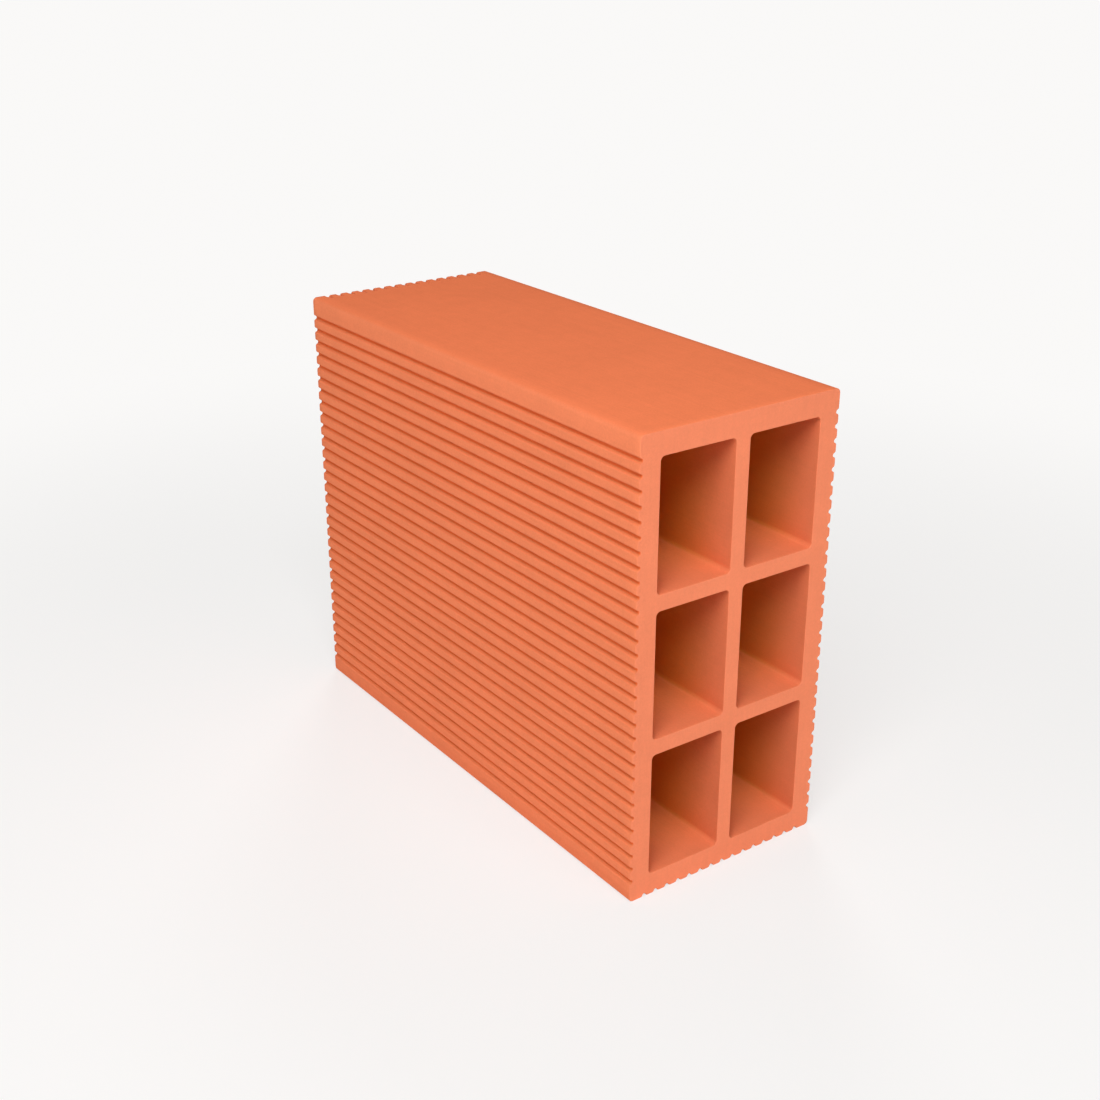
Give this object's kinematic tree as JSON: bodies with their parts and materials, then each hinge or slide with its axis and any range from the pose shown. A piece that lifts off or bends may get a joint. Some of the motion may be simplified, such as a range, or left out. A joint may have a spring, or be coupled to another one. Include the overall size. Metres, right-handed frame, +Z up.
{
  "type": "hollow clay brick",
  "caption": "Horizontally perforated fired clay block with through cells and combed keying grooves on its large faces and lower bed.",
  "frame": {"origin": "middle of the lower bed, on the surface that the block stands on", "axes": "+X along the cells, +Y across the block through its thickness, +Z up"},
  "size_m": [0.25, 0.0996, 0.1994],
  "materials": {
    "fired_clay": "matt unglazed terracotta"
  },
  "bodies": {
    "root": {"hollow_block": "fired_clay"}
  },
  "joints": []
}
